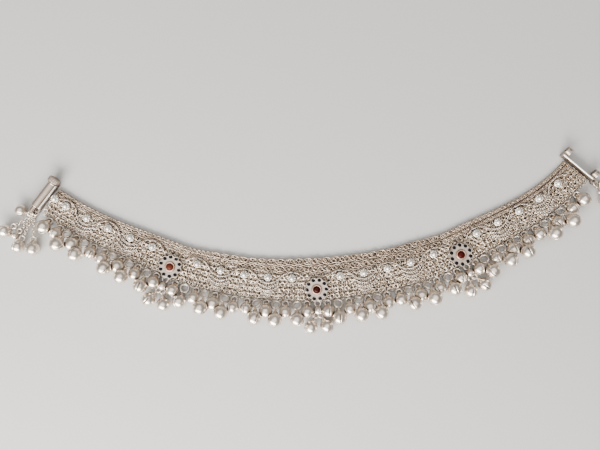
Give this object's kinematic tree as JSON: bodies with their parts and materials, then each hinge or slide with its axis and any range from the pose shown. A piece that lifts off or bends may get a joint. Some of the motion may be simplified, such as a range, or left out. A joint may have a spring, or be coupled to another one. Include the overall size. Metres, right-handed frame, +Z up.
{
  "type": "payal anklet",
  "caption": "Silver payal anklet of woven chain with studs, enamelled rosettes set with red stones, a fringe of small bells and a screw clasp, lying open.",
  "frame": {"origin": "on the flat underside of the woven mesh, below the middle of the anklet, on the line of the studs", "axes": "+X along the anklet from the barrel end to the knuckle end, +Y towards its plain chain edge, +Z up, away from the surface it lies on"},
  "size_m": [0.2732, 0.0808, 0.01],
  "materials": {
    "woven_silver": "satin",
    "bright_silver": "polished",
    "bell_silver": "satin",
    "clasp_silver": "satin",
    "red_stone": "polished",
    "navy_enamel": "glossy enamel"
  },
  "bodies": {
    "anklet": {"bell_fringe_01": "bell_silver", "bell_fringe_02": "bell_silver", "bell_fringe_03": "bell_silver", "bell_fringe_04": "bell_silver", "bell_fringe_05": "bell_silver", "bell_fringe_06": "bell_silver", "bell_fringe_07": "bell_silver", "bell_fringe_08": "bell_silver", "bell_fringe_09": "bell_silver", "bell_fringe_10": "bell_silver", "bell_fringe_11": "bell_silver", "bell_fringe_12": "bell_silver", "bell_fringe_13": "bell_silver", "chain_row_lower": "woven_silver", "chain_row_upper": "woven_silver", "enamel_1": "navy_enamel", "enamel_2": "navy_enamel", "enamel_3": "navy_enamel", "left_bell_bunch": "bell_silver", "left_end_barrel": "clasp_silver", "mesh_band": "woven_silver", "right_bell_bunch": "bell_silver", "right_end_knuckles": "clasp_silver", "rope_1": "woven_silver", "rope_2": "woven_silver", "rope_3": "woven_silver", "rope_4": "woven_silver", "rosette_1": "bright_silver", "rosette_2": "bright_silver", "rosette_3": "bright_silver", "stone_1": "red_stone", "stone_2": "red_stone", "stone_3": "red_stone", "stud_01": "bright_silver", "stud_02": "bright_silver", "stud_03": "bright_silver", "stud_04": "bright_silver", "stud_05": "bright_silver", "stud_06": "bright_silver", "stud_07": "bright_silver", "stud_08": "bright_silver", "stud_09": "bright_silver", "stud_10": "bright_silver", "stud_11": "bright_silver", "stud_12": "bright_silver", "stud_13": "bright_silver", "stud_14": "bright_silver", "stud_15": "bright_silver", "stud_16": "bright_silver", "stud_17": "bright_silver", "stud_18": "bright_silver", "stud_19": "bright_silver", "stud_20": "bright_silver", "stud_21": "bright_silver"},
    "screw": {"screw_pin": "clasp_silver"}
  },
  "joints": [
    {"name": "screw_slide", "type": "slide", "parent": "anklet", "child": "screw", "axis": [0.6018, 0.7986, 0], "range_m": [0, 0.02]}
  ]
}
